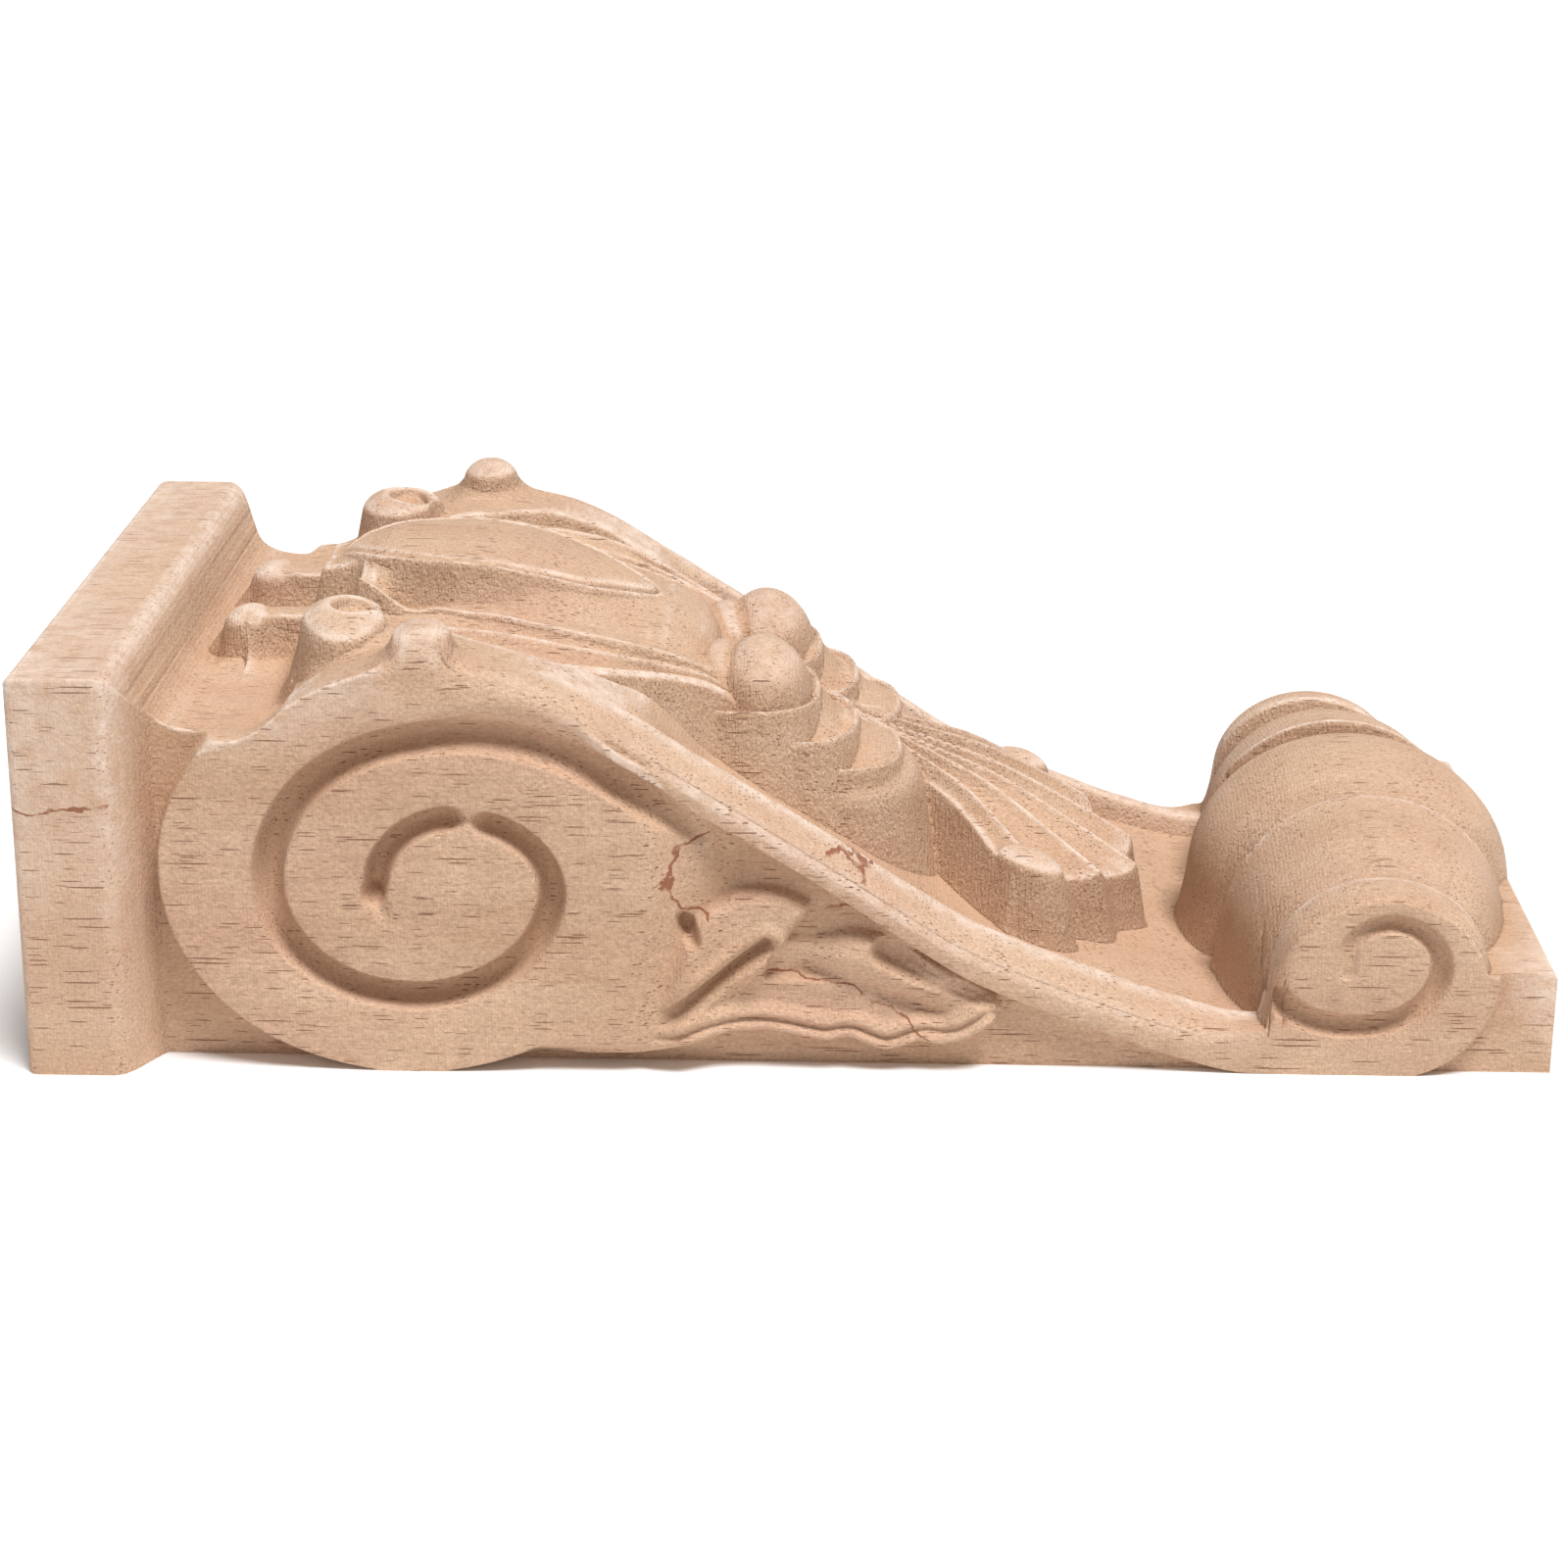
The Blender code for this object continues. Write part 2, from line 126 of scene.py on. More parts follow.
def ridge(d, width):
    """A rounded bead across a distance d, 1 at its crest."""
    return np.exp(-((d / width) ** 2))


# The belly of the leaf: a shallow egg inside a crisp rim, a skirt that falls from the rim to the first
# of three narrow ridges, and the hollows between these, which run back from the leaf's edge to a point.
# LOBE and the ridges are half widths along the corbel, the other lines are heights.
LOBE = [(34.0, 0.0), (36.5, 2.0), (38.9, 5.5), (44.5, 10.0), (52.0, 12.0), (57.5, 12.2), (64.3, 11.6),
        (70.0, 10.0), (75.5, 6.2), (79.1, 3.0), (80.8, 0.0)]
RIM = [(34.0, 56.4), (38.9, 58.5), (44.5, 59.1), (52.0, 59.1), (57.0, 58.7), (64.3, 57.3), (70.0, 55.5),
       (75.5, 53.6), (79.1, 52.3), (83.0, 50.8), (86.0, 48.9), (88.0, 46.6), (89.5, 43.5), (91.0, 40.0)]
LEVEL = [(40.0, 52.0), (52.0, 53.2), (61.0, 53.0), (70.0, 51.8), (78.0, 49.8), (87.0, 46.4), (95.0, 42.0)]
CREST = [(40.0, 57.4), (43.0, 56.6), (46.0, 55.6), (50.0, 54.5), (54.0, 53.7), (61.0, 53.2), (70.0, 52.0),
         (78.0, 50.0), (87.0, 46.6), (95.0, 42.2)]
TROUGH = [(36.0, 57.0), (41.6, 56.6), (43.8, 53.0), (52.2, 52.4), (54.4, 52.9), (61.0, 52.5), (70.0, 51.3),
          (78.0, 49.1), (83.0, 46.6), (87.0, 44.4), (95.0, 40.0)]
RIDGE_A = [(40.0, 13.2), (42.0, 14.6), (45.0, 15.6), (52.0, 15.8), (58.0, 16.2), (65.0, 18.4), (71.0, 19.2),
           (76.3, 18.6), (82.0, 17.6), (88.0, 16.5), (95.0, 15.0)]
RIDGE_B = [(40.0, 20.0), (52.0, 21.2), (58.0, 22.0), (64.0, 23.8), (70.0, 24.4), (76.0, 23.4), (82.0, 20.9),
           (88.0, 18.3), (95.0, 16.0)]
RIDGE_C = [(40.0, 25.0), (54.0, 27.8), (58.0, 30.2), (63.0, 32.1), (68.0, 32.2), (73.0, 30.6), (79.0, 26.6),
           (84.0, 22.6), (88.0, 20.1), (95.0, 17.0)]
UNDERCUT, HOLLOW_DEPTH, WALL_SLOPE = 8.0, 1.9, 2.6
POCKET, POCKET_DEPTH = (47.8, 13.9, 5.6, 2.6, -4), 2.4
CROWN, LINE_DEPTH, BEAD = 1.75, 0.9, 0.45


def belly(x, s, z, edge):
    a, b, c = curve(RIDGE_A, x), curve(RIDGE_B, x), curve(RIDGE_C, x)
    level = curve(LEVEL, x)
    z = z - UNDERCUT * (1 - ease((s - c) / 3)) * between(x, 43, 95, 3)
    wave = np.where(s < b, (s - a) / (b - a), 1 + (s - b) / (c - b))
    deep = HOLLOW_DEPTH * ease((x - 50) / 6) * (1 - 0.6 * ease((x - 78) / 9))
    rippled = level - deep * np.where((wave > 0) & (wave < 2), np.abs(np.sin(np.pi * wave)) ** 0.8, 0)
    rippled = rippled - 0.5 * clamp(wave - 0.7)
    past = s - c
    shoulder = rippled + (edge - 0.4 - rippled) * ease((past - 1.0) / 8) - 0.7 * ridge(past - 3.4, 1.6)
    wall = rippled - 0.5 * clamp(past / 1.5) - WALL_SLOPE * np.maximum(0, past - 1.5)
    leaf = shoulder - (shoulder - np.maximum(wall, z)) * ease((x - 63) / 10)
    leaf = leaf - 5.0 * np.maximum(0, 40.5 - 6 * ease((s - 30) / 6) - x) - 2.5 * np.maximum(0, x - 93)
    z = np.maximum(z, leaf)

    half, rim = curve(LOBE, x), curve(RIM, x)
    crest, trough = curve(CREST, x), curve(TROUGH, x)
    fall = clamp((s - half) / np.maximum(a - half, 1))
    nose = ease((x - 76) / 6)
    skirt = (1 - fall) ** 2.0 * (1 - nose) + (1 - fall**2.6) * nose
    skirt = trough + (rim - trough) * skirt + (crest - trough) * ridge(s - a, 1.0)
    skirt = skirt + 0.35 * ridge(x - 53.4, 0.6) * (fall > 0) * (1 - fall)
    skirt = skirt - POCKET_DEPTH * dent(oval(x, s, *POCKET), 0.45)
    skirt = skirt - 1.6 * np.maximum(s - a, 0)
    skirt = skirt - 4.0 * np.maximum(0, 34 - x) - 3.0 * np.maximum(0, x - 90.5)
    skirt = skirt - 4.0 * np.maximum(0, 40.0 - x) * ease((s - 6) / 4)
    inner = s - half
    egg = rim + CROWN * (1 - clamp(s / np.maximum(half, 0.1)) ** 2) * between(x, 40, 78, 12)
    egg = egg - LINE_DEPTH * ridge(inner + 1.1, 0.6)
    beaded = np.where(inner < 0, egg, skirt) + BEAD * ridge(inner, 0.45) * between(x, 36, 80.5, 3)
    return np.maximum(z, beaded)


# The head of the leaf, under the cap: two round balls with a stem behind each, two tips that curl
# over beside the lobe, and two knobs where the leaf's edge meets the flank. Each is an oval's middle,
# radii and turn, seen from the front.
BALL, BALL_TOP = (24.9, 11.2, 4.1, 4.1), 52.9
STEM, STEM_TOP = (30.5, 10.4, 8.0, 2.5), 52.0
NOTCH, NOTCH_DEPTH = (28.6, 14.2, 2.2, 1.9), 1.5
CURL, CURL_TOP = (40.4, 29.7, 5.7, 7.9, -8), 59.0
CURL_EYE, CURL_EYE_DEPTH = (41.6, 28.8, 3.4, 4.2, 10), 3.0
CURL_NICK, CURL_NICK_DEPTH = (46.2, 27.4, 1.7, 2.6), 2.6
KNOB_X, KNOB_Y, KNOB_RADII, KNOB_TOP = 52.2, 42.7, (4.1, 4.7), 60.3


def head(x, s, z):
    floor = 48.2 + 0.25 * (x - 30) - 4.0 * np.maximum(0, 30.2 + 0.10 * s - x)
    z = np.maximum(z, np.where((x < 46) & (s < 34), floor, 0))
    z = z + 2.0 * ridge(x - 25.5, 5.0) * ridge(s - 11.5, 7.0) * (z < 46)
    ball = dome(oval(x, s, *BALL), BALL[2], BALL_TOP, 4.0, 5)
    stem = dome(oval(x, s, *STEM), STEM[3], STEM_TOP, 0.6, 4)
    z = np.maximum(z, np.maximum(ball, stem))
    return z - NOTCH_DEPTH * dent(oval(x, s, *NOTCH), 0.3)


def curls(x, s, z):
    r = oval(x, s, *CURL)
    rough = np.sin(7.1 * x + 2.0 * np.sin(5.3 * s)) * np.sin(6.3 * s + 1.7 * np.sin(4.9 * x + z))
    curl = dome(r, CURL[2], CURL_TOP, 3.2, 5) - 0.20 * np.maximum(0, s - 31)
    z = np.maximum(z, curl + 0.3 * rough * ((r > 0.96) & (s > 30)))
    z = z - CURL_EYE_DEPTH * dent(oval(x, s, *CURL_EYE), 0.5) * (r < 1)
    z = z - CURL_NICK_DEPTH * dent(oval(x, s, *CURL_NICK), 0.3)
    swell = 1.6 * ridge(x - 52.0, 6.0) * ridge(s - 43.5, 6.0)
    near = (s - KNOB_Y) * np.where(s > KNOB_Y, 0.72, 1.0)
    knob = dome(oval(x, near, KNOB_X, 0.0, *KNOB_RADII), KNOB_RADII[0], KNOB_TOP, 3.2, 3.2)
    return np.maximum(z + swell, knob)


# The lower leaf: on each side a bud of two petals in a cup, set in a second and a third cup over one
# round body, and between them a fan of flutes from one root to a scalloped end, with a small knob on
# each side of it. A cup is its middle, radii, height inside, height of its rim and lip.
CUPS = ((104.2, 10.0, 9.8, 11.8, 38.2, 32.4, 1.3), (98.4, 10.4, 9.5, 12.4, 43.4, 36.6, 1.2),
        (93.0, 10.3, 9.7, 12.7, 42.4, 40.6, 1.5))
PETALS = ((89.6, 9.8, 5.0, 8.4, 47.9, 6.8, 5), (95.2, 11.6, 6.8, 9.8, 49.2, 9.0, 4),
          (106.4, 9.6, 11.4, 14.2, 36.2, 9.2, 4))
SQUARENESS, LIP_WIDTH, LEAN = 2.6, 0.55, 0.10
FAN_X, FAN_PITCH, FAN_WIDE, FLUTE_DEPTH = 103.0, 13.4, 39.0, 2.6
FAN_OPENS = ((8, 16, 23, 30, 36), (28.0, 30.5, 32.0, 35.0, 37.0))
FAN_REACH = ((6.5, 20.5, 36.0), (45.2, 42.0, 38.0))
FAN_KNOB, FAN_KNOB_RADIUS, FAN_KNOB_TOP = (131.8, 21.4, 5.0, 3.6, 25), 4.0, 22.5
FAN_TOP = [(0, 37.2), (7.4, 34.0), (16.7, 30.4), (24.5, 27.2), (35.0, 21.2), (45.0, 14.8), (60.0, 5.0)]


def bells(x, s, z):
    for cx, cy, rx, ry, middle, low, lip in CUPS:
        q = np.abs((x - cx) / rx) ** SQUARENESS + np.abs((s - cy) / ry) ** SQUARENESS
        q = q ** (1 / SQUARENESS)
        out = (q - 1) * rx
        cup = middle - (middle - low) * ease((q - 0.15) / 0.85) + lip * ridge(out + 0.1, LIP_WIDTH)
        z = np.maximum(z, np.where(out < 0, cup, low + lip * ridge(out + 0.1, LIP_WIDTH) - 4.0 * out))
    for cx, cy, rx, ry, top, rise, wall in PETALS:
        petal = dome(oval(x, s, cx, cy, rx, ry), rx, top, rise, wall) - LEAN * (x - cx)
        z = np.maximum(z, petal)
    return z


def fan(x, s, z):
    fx, fr = x - FAN_X, np.hypot(x - FAN_X, s)
    angle = np.degrees(np.arctan2(s, np.maximum(fx, 1e-6)))
    angle = angle * FAN_PITCH * 2.5 / np.interp(fr, *FAN_OPENS)
    reach = np.interp(angle, *FAN_REACH)
    wave = np.abs(np.cos(np.radians(180 * angle / FAN_PITCH)))
    body = curve(FAN_TOP, fr) + 1.0 * ease(angle / 30) - FLUTE_DEPTH * wave**0.85 * ease(fr / 14)
    out = np.maximum(fr - reach + 1.6 * wave**2, 0)
    wide = np.maximum(fr * np.sin(np.radians(np.maximum(angle - FAN_WIDE, 0))), 0)
    z = np.where(fx > 0, np.maximum(z, body - 5.0 * out - 4.0 * wide), z)
    knob = dome(oval(x, s, *FAN_KNOB), FAN_KNOB_RADIUS, FAN_KNOB_TOP, 2.8, 6)
    return np.maximum(z, knob - 0.25 * (x - FAN_KNOB[0]))


# The scroll at the foot is rolled like a melon: a middle lobe and two lower ones on each side. Each
# falls away to a crease, and the next starts there with a crisp edge. Behind it stands the low block.
# A roll is its radius across the corbel, and where it starts and ends, its axis and how much it is
# stretched along the corbel.
ROLL = [(0, 20.3), (5, 19.8), (9, 18.7), (12, 17.0), (14.6, 14.6), (15.8, 12.8)]
SIDE_ROLL = [(15.8, 17.6), (16.2, 19.4), (16.6, 19.6), (19, 19.1), (25, 18.3), (30, 17.0), (34, 15.5),
             (37.6, 13.4)]
OUTER_ROLL = [(37.6, 10.6), (38.1, 12.3), (38.7, 12.8), (40.0, 12.8), (42.0, 12.6), (43.4, 12.3),
              (44.4, 11.9), (45.0, 11.5), (60, 11.2)]
ROLLS = ((-1, 15.8, 178.2, 11.0, 1.12, ROLL), (15.8, 37.6, 178.2, 9.6, 1.0, SIDE_ROLL),
         (37.6, 60, 177.2, 12.8, 1.12, OUTER_ROLL))
BLOCK_START, BLOCK_TOP, BLOCK_ROUND = 181, 14.2, 0.9


def scroll(x, s, z):
    for low, high, cx, cz, longer, shape in ROLLS:
        radius = curve(shape, s)
        off = (x - cx) / longer
        h = cz + np.sqrt(np.maximum(radius**2 - off**2, 0))
        h = np.where(off**2 > radius**2, cz - 6.0 * (np.abs(off) - radius), h)
        z = np.maximum(z, np.where((s >= low) & (s <= high), h, 0))
    turned = np.clip(x - (LENGTH - BLOCK_ROUND), 0, BLOCK_ROUND)
    block = BLOCK_TOP - (BLOCK_ROUND - np.sqrt(BLOCK_ROUND**2 - turned**2))
    return np.maximum(z, np.where(x > BLOCK_START, block, 0))


# The cap: a square fascia and a hollow below it, worked on the front and on both flanks.
CAP_FRONT = [(-1, 54.3), (0, 53.5), (0.35, 54.0), (1.1, 54.3), (11.0, 54.3), (12.2, 54.0), (13.2, 53.2),
             (14.1, 51.9), (15.0, 50.2), (15.9, 48.6), (17.0, 47.2), (18.3, 46.2), (20.5, 45.4), (23.6, 45.1)]
CAP_SIDE = [(-1, 51.0), (0, 50.2), (0.35, 50.7), (1.1, 51.0), (11.0, 51.0), (12.3, 50.6), (13.3, 49.6),
            (14.3, 48.0), (15.5, 45.6), (16.8, 43.2), (18.2, 41.6), (19.8, 40.8), (22.5, 40.8)]
FASCIA, HEAD_HALF = 12, 20


def cap(x, s, z):
    hollow = curve(CAP_FRONT, x)
    z = np.where(x < CAP_FRONT[-1][0], np.maximum(hollow, np.where(s < HEAD_HALF, z, 0)), z)
    return np.where(x <= FASCIA, hollow, z)


# The whole front: a bed between two raised bands, whose outer faces are rounded up to a crest, with the
# leaf, the scroll and the cap carved on it.
BAND_ROUND, BAND_DROP, BED_DEPTH = 6.3, 4.4, 4.8


def band_reach(x):
    """Half width over the bands, which come a little closer together towards the foot."""
    return BAND_HALF - (BAND_HALF - FOOT_HALF) * ease((x - 90) / 60)


def front(x, y):
    """Height of the front surface."""
    s = np.abs(y)
    edge = curve(EDGE, x)
    past = s - (band_reach(x) - BAND_ROUND)
    bed = BED_DEPTH * ease((x - 78) / 12) * (1 - 0.35 * ease((x - 120) / 40)) * ease((-0.2 - past) / 2.6)
    outer = BAND_DROP * (1 - np.sqrt(1 - 0.97 * clamp(past / BAND_ROUND) ** 2))
    outer = outer * ease((x - 64) / 14) * (1 - ease((x - 152) / 10))
    z = edge - bed - outer
    valley = 1 - ease((x - 30 - 10 * ease((s - 14) / 10) + 8 * ease((s - 36) / 6)) / 3)
    z = z - (z - CAP_FRONT[-1][1]) * valley * ease((45 - s) / 4)
    z = belly(x, s, head(x, s, z), edge)
    z = curls(x, s, z)
    z = scroll(x, s, fan(x, s, bells(x, s, z)))
    return np.clip(cap(x, s, z), THINNEST, TOP)


# The flanks: a neck under the cap, a large oval volute, a raised band that runs from it down to the
# small volute on the foot, and a leaf in low relief on the web below the band. A disc is an oval's
# middle and radii, and a spiral is the line that the gouge followed.
DISC, FOOT_DISC = (50.0, 27.5, 32.3, 28.0), (177.6, 13.4, 14.8, 14.2)
NECK_END, CAP_SIDE_END = 44, 22.5
SPIRAL = [
    (93.0, 28.6), (86.4, 33.8), (80.0, 38.6), (73.0, 43.0), (64.5, 46.1), (55.5, 46.7), (45.0, 44.6),
    (37.0, 39.6), (32.2, 31.5), (31.8, 23.0), (35.5, 16.5), (41.5, 12.2), (48.0, 10.6), (55.0, 10.8),
    (62.0, 13.8), (67.0, 18.6), (69.2, 25.0), (67.4, 30.5), (62.5, 34.2), (56.0, 35.6), (50.5, 34.0),
    (46.6, 30.0), (45.6, 24.6)]
SPIRAL_HALF, SPIRAL_DEPTH, BRIDGE_ALONG, BRIDGE_LENGTH, BRIDGE_HEIGHT = 2.45, 3.9, 0.887, 0.011, 2.9
SPIRAL_TAIL = [(45.6, 24.4), (46.3, 22.6), (47.8, 21.2), (49.8, 20.6)]
FOOT_SPIRAL = [
    (158.0, 16.0), (160.0, 13.2), (163.2, 10.2), (168.0, 7.5), (174.0, 6.7), (180.0, 7.9), (184.3, 12.2),
    (184.5, 17.8), (180.4, 21.3), (175.6, 21.5), (172.0, 18.6), (172.3, 14.6)]
BAND_DEPTH = [(60, 12.0), (80, 7.0), (100, 6.2), (125, 6.8), (150, 6.8), (200, 6.0)]
LEAF = [
    (70.5, 1.7), (75.5, 3.6), (80.0, 7.4), (83.0, 11.8), (85.0, 16.2), (87.2, 20.7), (88.9, 22.5),
    (92.2, 24.4), (95.9, 24.9), (98.8, 24.5), (102.0, 22.9), (101.9, 21.4), (99.9, 18.8), (102.6, 18.6),
    (107.3, 19.4), (111.6, 18.3), (115.6, 16.0), (121.0, 13.6), (126.6, 10.2), (127.2, 8.2), (126.0, 6.2),
    (123.0, 4.2), (119.4, 3.3), (116.6, 3.9), (114.6, 3.0), (112.2, 2.4), (109.8, 3.2), (107.2, 4.4),
    (104.6, 3.6), (101.4, 4.2), (96.7, 5.2), (91.4, 4.8), (84.0, 3.1), (78.4, 1.7), (72.8, 1.1)]
LEAF_LIP = LEAF[20:] + LEAF[:1]
LEAF_RELIEF, LIP_RELIEF, VEIN_DEPTH, FOLD_DEPTH, RIGHT_VEIN_DEPTH = 2.7, 0.9, 2.4, 1.9, 1.2
VEIN = [(79.0, 4.6), (84.0, 7.8), (88.0, 11.0), (92.0, 14.2), (96.4, 17.6)]
FOLD_Z, FOLD_X = (13.2, 15.8, 18.5, 21.3, 22.6), (96.2, 96.9, 99.4, 101.6, 102.0)
RIGHT_VEIN = [(97.5, 12.6), (103.0, 13.6), (108.5, 12.4), (114.0, 9.6), (119.0, 7.4)]
RIGHT_SWELL = (106.5, 16.0, 6, 1.6, -8)
EYE, EYE_DEPTH = (86.3, 19.6, 1.5, 3.0, 25), 2.6
SLOT, SLOT_DEPTH = [(111.8, 16.5), (114.5, 15.0), (118.0, 12.9), (122.0, 11.2), (125.4, 9.4)], 3.2


def inside(points, u, v):
    """Depth inside the outline of the points, negative outside."""
    path = np.asarray(points, float)
    far, odd = np.full(u.shape, 1e9), np.zeros(u.shape, bool)
    for a, b in zip(path, np.roll(path, -1, axis=0)):
        d = b - a
        t = clamp(((u - a[0]) * d[0] + (v - a[1]) * d[1]) / (d @ d))
        far = np.minimum(far, np.hypot(u - a[0] - t * d[0], v - a[1] - t * d[1]))
        crosses = (a[1] > v) != (b[1] > v)
        odd ^= crosses & (u < a[0] + (v - a[1]) * d[0] / (d[1] if d[1] else 1e-9))
    return np.where(odd, far, -far)


def flank_leaf(x, z, half):
    deep = inside(LEAF, x, z)
    lip, along = from_path(LEAF_LIP, x, z, 2)
    blade = LEAF_RELIEF * np.sqrt(clamp((deep + 0.2) / 1.6))
    blade = blade + LIP_RELIEF * ridge(lip - 0.9, 0.7) * (deep > -0.3)
    blade = blade - 0.5 * ridge(lip - 2.1, 0.4) + 0.25 * ridge(lip - 2.9, 0.5)
    blade = blade - 0.9 * ease((lip - 3.2) / 1.5) * (1 - ease((lip - 6.0) / 3.0))
    far, along = from_path(VEIN, x, z)
    blade = blade - VEIN_DEPTH * ridge(far, 0.75) * ease(along / 0.35)
    blade = blade + 0.6 * ridge(far - 1.9, 0.8) * ease(along / 0.3)
    past = x - np.interp(z, FOLD_Z, FOLD_X)
    folded = ease(past / 0.5 + 0.5) * between(z, 12.6, 24, 1.2) * (1 - ease((past - 3) / 8))
    blade = blade - FOLD_DEPTH * folded
    far, along = from_path(RIGHT_VEIN, x, z)
    blade = blade - RIGHT_VEIN_DEPTH * ridge(far, 1.5) * ease(along / 0.25)
    blade = blade + 0.4 * ridge(oval(x, z, *RIGHT_SWELL), 0.8)
    raised = np.where(deep > -0.2, np.maximum(blade, 0), 0) * (0.35 + 0.65 * ease((x - 76) / 12))
    raised = raised + np.minimum(half, BODY_HALF + 2.2)
    half = np.maximum(half, np.where(deep > -0.2, raised, 0))
    half = half - EYE_DEPTH * dent(oval(x, z, *EYE), 0.4)
    far, along = from_path(SLOT, x, z)
    return half - SLOT_DEPTH * ease(1.3 - far / (1.7 - 0.8 * along)) * (1 - 0.75 * ease(along / 0.6))


def flank(x, z):
    """Half width of the body."""
    half = BODY_HALF + (DISC_HALF - BODY_HALF) * 0.98 * (1 - ease((x - 77) / 17)) * ease((z - 0.5) / 4)
    half = flank_leaf(x, z, half)
    under = curve(EDGE, x) - curve(BAND_DEPTH, x)
    band = ease((z - under) / 0.7) * ease((x - 60) / 6) * (1 - ease((x - 174) / 4))
    half = np.maximum(half, BODY_HALF + (band_reach(x) - BODY_HALF) * band)

    # The disc runs out into the band at its right, and the front's edge stands on it at its top
    middle_x, middle_z = DISC[:2]
    r = oval(x, z, *DISC)
    disc = ease((1.0 - r) / (0.016 + 0.12 * ease((x - 64) / 12)) + 0.5)
    on_band = (x > middle_x) & (z > middle_z) & (z > under)
    half = np.where(on_band, half, half + (DISC_HALF - half) * disc)
    shoulder = ease((x - 40) / 4) * (1 - ease((x - 66) / 10)) * ease((z - middle_z) / 10)
    half = half + np.maximum(DISC_HALF - 0.2 - half, 0) * shoulder
    far, along = from_path(SPIRAL, x, z)
    reach = SPIRAL_HALF - 0.85 * along
    cut = DISC_HALF - (SPIRAL_DEPTH - 0.5 * along) * np.sqrt(np.maximum(1 - (far / reach) ** 2, 0))
    bridge = BRIDGE_HEIGHT * ridge(along - BRIDGE_ALONG, BRIDGE_LENGTH)
    half = np.where(far < reach, np.minimum(half, cut + bridge), half)
    tail, along = from_path(SPIRAL_TAIL, x, z)
    half = half - 1.1 * ridge(tail, 1.0) * (1 - ease(along))

    neck = NECK_HALF + (half - NECK_HALF) * ease((1.016 - r) / 0.016)
    half = np.where((x < NECK_END) & (r > 1.0), neck, half)
    hollow = curve(CAP_SIDE, x)
    half = np.where(x < CAP_SIDE_END, np.maximum(half, hollow), half)
    half = np.where(x <= FASCIA, hollow, half)

    r = oval(x, z, *FOOT_DISC)
    half = np.maximum(half, BODY_HALF + (FOOT_HALF - BODY_HALF) * ease((1.0 - r) / 0.03 + 0.5))
    far, along = from_path(FOOT_SPIRAL, x, z)
    deep = (1.9 + 3.4 * (1 - ease(along / 0.22))) * (1 - 0.75 * ease((along - 0.8) / 0.2))
    reach = 1.9 - 0.7 * along
    return half - deep * np.sqrt(np.maximum(1 - (far / reach) ** 2, 0))


# One half of the body is a fine sheet, bent round the flank and the front, whose arris is where the
# two meet. It is thinned where it is flat, closed on the middle plane and mirrored.
ROWS, SIDE, OVER, KEPT = 720, 200, 280, 98000
xs = np.linspace(0, LENGTH, ROWS)
lane = np.linspace(0, 56, 1121)
height = front(*np.meshgrid(xs, lane, indexing="ij"))
room = flank(np.repeat(xs[:, None], len(lane), axis=1), height) - lane
first = np.argmax(room < 0, axis=1)
row = np.arange(len(xs))
t = room[row, first - 1] / (room[row, first - 1] - room[row, first])
corner_y = lane[first - 1] + t * (lane[first] - lane[first - 1])
corner_z = height[row, first - 1] + t * (height[row, first] - height[row, first - 1])
side_z = corner_z[:, None] * np.linspace(0, 1, SIDE)
side_x = np.repeat(xs[:, None], SIDE, axis=1)
side = np.stack([side_x, flank(side_x, side_z), side_z], -1)
side[:, -1, 1] = corner_y
over_y = corner_y[:, None] * np.linspace(1, 0, OVER)
over_x = np.repeat(xs[:, None], OVER, axis=1)
over = np.stack([over_x, over_y, front(over_x, over_y)], -1)
back = side[:, :1] * np.array([1, 0, 1])
sheet = np.concatenate([back, side, over[:, 1:]], axis=1)
rows, cols = sheet.shape[:2]
column = np.arange(cols)


def softened(a, reach):
    """The array averaged twice over that many places each way."""
    for axis in (0, 1, 0, 1):
        wide = [(reach + 1, reach) if axis == k else (0, 0) for k in range(a.ndim)]
        total = np.cumsum(np.pad(a, wide, mode="edge"), axis=axis)
        n = a.shape[axis]
        upper = np.take(total, np.arange(n) + 2 * reach + 1, axis)
        a = (upper - np.take(total, np.arange(n), axis)) / (2 * reach + 1)
    return a


# Sanding has taken the sharpness off every arris, most of all off the long one between flank and front,
# and the cutter's round nose has left the feet of the balls, curls and knobs filled
SANDINGS, WEAR, FILLET = 6, 160, 5
arris = ridge(column[2:-1] - SIDE, 3.0)[:, None]
for turn in range(SANDINGS):
    inner = sheet[1:-1, 2:-1]
    mean = (sheet[:-2, 2:-1] + sheet[2:, 2:-1] + sheet[1:-1, 1:-2] + sheet[1:-1, 3:]) / 4
    mean[..., 0] = inner[..., 0]
    sheet[1:-1, 2:-1] = inner + (0.5 if turn < 1 else 0.6 * arris) * (mean - inner)

head_tops = sheet[:, SIDE + 4:, 2]
filled = np.maximum(softened(head_tops, FILLET) - head_tops, 0)
head_tops += filled * between(xs, 22, 60, 6)[:, None]

# Over the large disc the front's edge is worn round, on both sides of the arris
worn = sheet[:, SIDE - 45:SIDE + 60]
loose = ridge(column[SIDE - 44:SIDE + 59] - SIDE, 14.0) * between(xs, 50, 72, 9)[:, None]
for turn in range(WEAR):
    inner = worn[:, 1:-1]
    mean = (worn[:, :-2] + worn[:, 2:]) / 2
    mean[..., 0] = inner[..., 0]
    worn[:, 1:-1] = inner + 0.9 * loose[..., None] * (mean - inner)

